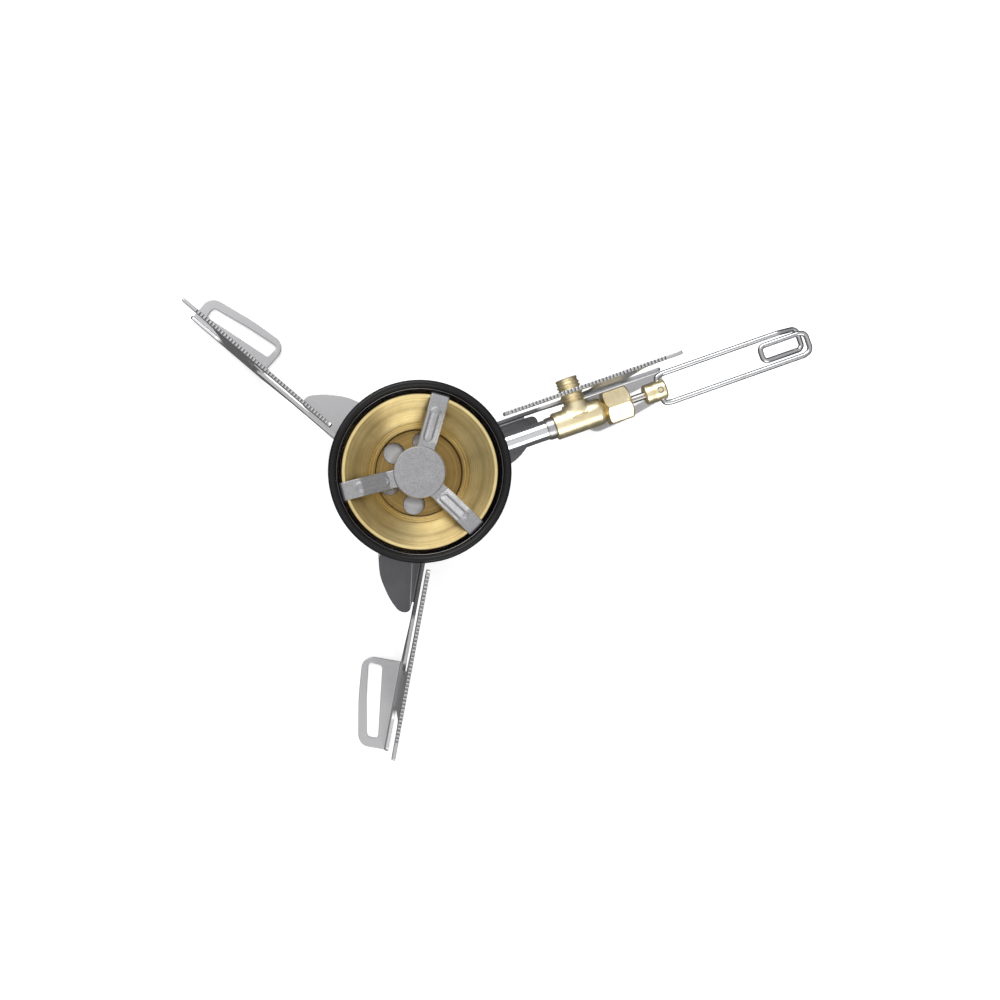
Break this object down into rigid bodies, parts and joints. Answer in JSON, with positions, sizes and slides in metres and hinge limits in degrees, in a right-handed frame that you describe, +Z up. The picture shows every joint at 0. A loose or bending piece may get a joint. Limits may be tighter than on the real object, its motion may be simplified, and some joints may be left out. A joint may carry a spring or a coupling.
{
  "type": "folding stove burner",
  "caption": "Folding liquid-fuel stove burner with toothed fold-out legs, brass burner cup, threaded hose stub, needle valve and folding wire handle.",
  "frame": {"origin": "on the burner axis, in the plane that the three feet stand on", "axes": "+X along the fuel line from burner to handle, +Z up, +Y towards the threaded hose stub"},
  "size_m": [0.1706, 0.1464, 0.066],
  "materials": {
    "black_enamel": "black heat-proof enamel, satin",
    "bell_steel": "drawn stainless sheet, heat stained",
    "brass": "turned brass, fine machining marks",
    "bright_brass": "machined brass, bright",
    "spreader_steel": "stamped steel, satin",
    "leg_steel": "stamped stainless sheet, satin",
    "polished_steel": "polished stainless tube and wire",
    "zinc_steel": "zinc-plated steel",
    "spindle_steel": "turned steel",
    "felt": "glass-fibre felt",
    "seal_rubber": "matte rubber",
    "graphite": "pressed graphite"
  },
  "bodies": {
    "stove": {"flame_ring": "black_enamel", "burner_bell": "bell_steel", "burner_cup": "brass", "flame_spreader": "spreader_steel", "mixing_tube": "polished_steel", "bell_bracket": "zinc_steel", "bell_screws": "zinc_steel", "jet": "bright_brass", "jet_block": "brass", "priming_cup": "bell_steel", "priming_pad": "felt", "fuel_tube": "polished_steel", "tube_collar": "zinc_steel", "valve_body": "bright_brass", "hose_stub": "brass", "inlet_filter": "brass", "packing_nut": "bright_brass", "packing_seal": "graphite", "seal_washer": "brass", "leg_fixed": "leg_steel", "pivot_bolt": "zinc_steel", "lower_bush": "brass", "upper_bush": "brass", "bolt_washer": "zinc_steel", "stack_washer": "zinc_steel"},
    "leg_rear_swinging": {"leg_rear": "leg_steel"},
    "leg_front_swinging": {"leg_front": "leg_steel"},
    "spindle_carrier": {"spindle_oring": "seal_rubber"},
    "spindle_turning": {"valve_spindle": "spindle_steel", "handle_hub": "bright_brass", "spring_pin": "zinc_steel"},
    "handle_folding": {"wire_handle": "polished_steel"}
  },
  "joints": [
    {"name": "leg_rear_swing", "type": "hinge", "parent": "stove", "child": "leg_rear_swinging", "pos_m": [0, 0, 0.0116], "axis": [0, 0, 1], "range_deg": [-105, 0]},
    {"name": "leg_front_swing", "type": "hinge", "parent": "stove", "child": "leg_front_swinging", "pos_m": [0, 0, 0.0142], "axis": [0, 0, 1], "range_deg": [0, 104]},
    {"name": "spindle_travel", "type": "slide", "parent": "stove", "child": "spindle_carrier", "axis": [1, 0, 0], "range_m": [0, 0.0016]},
    {"name": "valve_turn", "type": "hinge", "parent": "spindle_carrier", "child": "spindle_turning", "pos_m": [0.05, 0, 0.026], "axis": [1, 0, 0], "range_deg": [0, 720.5]},
    {"name": "handle_fold", "type": "hinge", "parent": "spindle_turning", "child": "handle_folding", "pos_m": [0.0756, 0, 0.026], "axis": [0, -1, 0], "range_deg": [-25, 100]}
  ],
  "couplings": [
    {"joint": "valve_turn", "follows": "spindle_travel", "rad_per_m": 7854}
  ]
}
